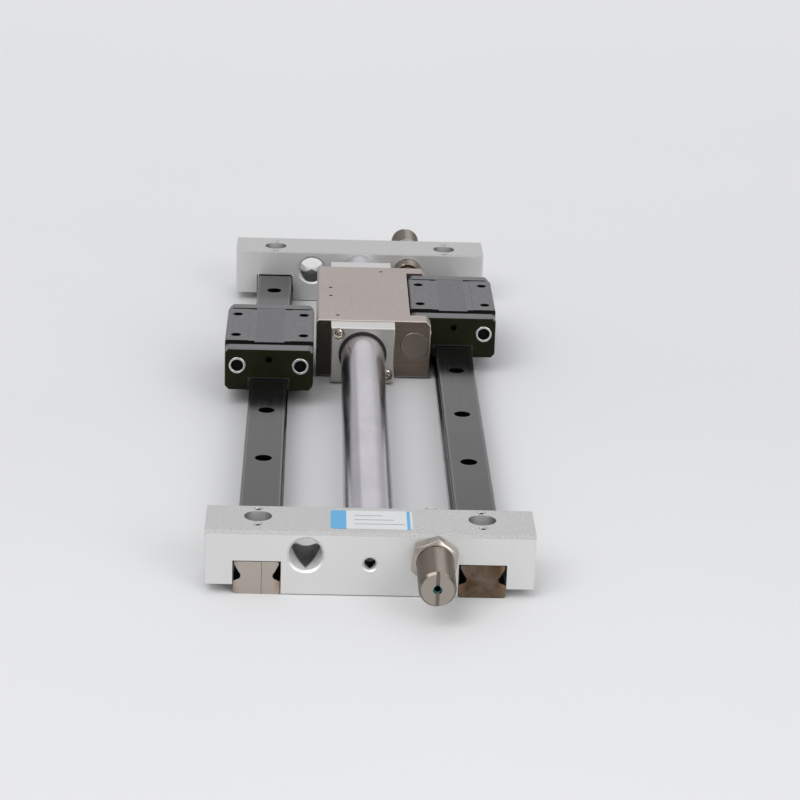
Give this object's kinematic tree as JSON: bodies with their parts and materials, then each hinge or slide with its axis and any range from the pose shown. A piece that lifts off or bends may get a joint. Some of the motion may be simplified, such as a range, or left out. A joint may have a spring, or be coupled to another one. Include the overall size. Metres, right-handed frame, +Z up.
{
  "type": "pneumatic cylinder",
  "caption": "Rodless pneumatic cylinder: a magnetically coupled carriage slides between two end plates, beside guide rails with bearing blocks and shock absorbers.",
  "frame": {"origin": "On the base plane under the middle of the cylinder, at the bottom centre of the overall box", "axes": "+X to the right seen from the front end, +Y along the stroke away from the front end, +Z up"},
  "size_m": [0.1064, 0.39, 0.024],
  "materials": {
    "plates": "clear anodised, satin",
    "tube": "polished stainless steel",
    "seals": "black nitrile rubber",
    "rails": "blackened bearing steel",
    "dark_screws": "black oxide",
    "absorbers": "warm dull nickel",
    "bronze": "sintered bronze",
    "oil_plugs": "teal sealing washer",
    "rods": "hardened, ground",
    "carriage": "nickel plated, lightly brushed",
    "strikers": "hardened, ground",
    "covers": "bright, clear anodised",
    "wear_rings": "filled bearing plastic",
    "yokes": "bare mild steel",
    "magnets": "nickel plated magnet",
    "pistons": "machined",
    "block_steel": "ground, black stained",
    "block_caps": "moulded, near black",
    "cap_screws": "bright plated"
  },
  "bodies": {
    "frame": {"front_plate": "plates", "rear_plate": "plates", "cylinder_tube": "tube", "tube_seals": "seals", "left_rail": "rails", "right_rail": "rails", "clamp_screws": "dark_screws", "front_absorber_barrel": "absorbers", "rear_absorber_barrel": "absorbers", "front_absorber_nut": "absorbers", "rear_absorber_nut": "absorbers", "absorber_bushes": "bronze", "oil_plugs": "oil_plugs"},
    "carriage": {"carriage_body": "carriage", "striker_pins": "strikers", "front_cover": "covers", "rear_cover": "covers", "tube_scrapers": "seals", "cover_screws": "dark_screws", "wear_rings": "wear_rings", "outer_yokes": "yokes", "outer_magnets": "magnets"},
    "piston": {"piston_shaft": "rods", "inner_yokes": "yokes", "inner_magnets": "magnets", "front_piston_head": "pistons", "rear_piston_head": "pistons", "piston_seals": "seals", "piston_nuts": "strikers"},
    "left_block": {"left_block_body": "block_steel", "left_block_front_cap": "block_caps", "left_block_rear_cap": "block_caps", "left_cap_screws": "cap_screws", "left_rail_seals": "seals", "left_block_balls": "rods"},
    "right_block": {"right_block_body": "block_steel", "right_block_front_cap": "block_caps", "right_block_rear_cap": "block_caps", "right_cap_screws": "cap_screws", "right_rail_seals": "seals", "right_block_balls": "rods"},
    "front_rod": {"front_absorber_rod": "rods"},
    "rear_rod": {"rear_absorber_rod": "rods"}
  },
  "joints": [
    {"name": "carriage_slide", "type": "slide", "parent": "frame", "child": "carriage", "axis": [0, 1, 0], "range_m": [-0.178, 0.0125]},
    {"name": "piston_slide", "type": "slide", "parent": "frame", "child": "piston", "axis": [0, 1, 0], "range_m": [-0.178, 0.0125]},
    {"name": "right_block_slide", "type": "slide", "parent": "frame", "child": "right_block", "axis": [0, 1, 0], "range_m": [-0.178, 0.0125]},
    {"name": "left_block_slide", "type": "slide", "parent": "frame", "child": "left_block", "axis": [0, 1, 0], "range_m": [-0.156, 0.08]},
    {"name": "front_rod_press", "type": "slide", "parent": "frame", "child": "front_rod", "axis": [0, -1, 0], "range_m": [0, 0.0058], "stiffness_N_per_m": 300, "springref_m": -0.005},
    {"name": "rear_rod_press", "type": "slide", "parent": "frame", "child": "rear_rod", "axis": [0, 1, 0], "range_m": [0, 0.0058], "stiffness_N_per_m": 300, "springref_m": -0.005}
  ],
  "couplings": [
    {"joint": "piston_slide", "follows": "carriage_slide", "ratio": 1},
    {"joint": "right_block_slide", "follows": "carriage_slide", "ratio": 1}
  ]
}
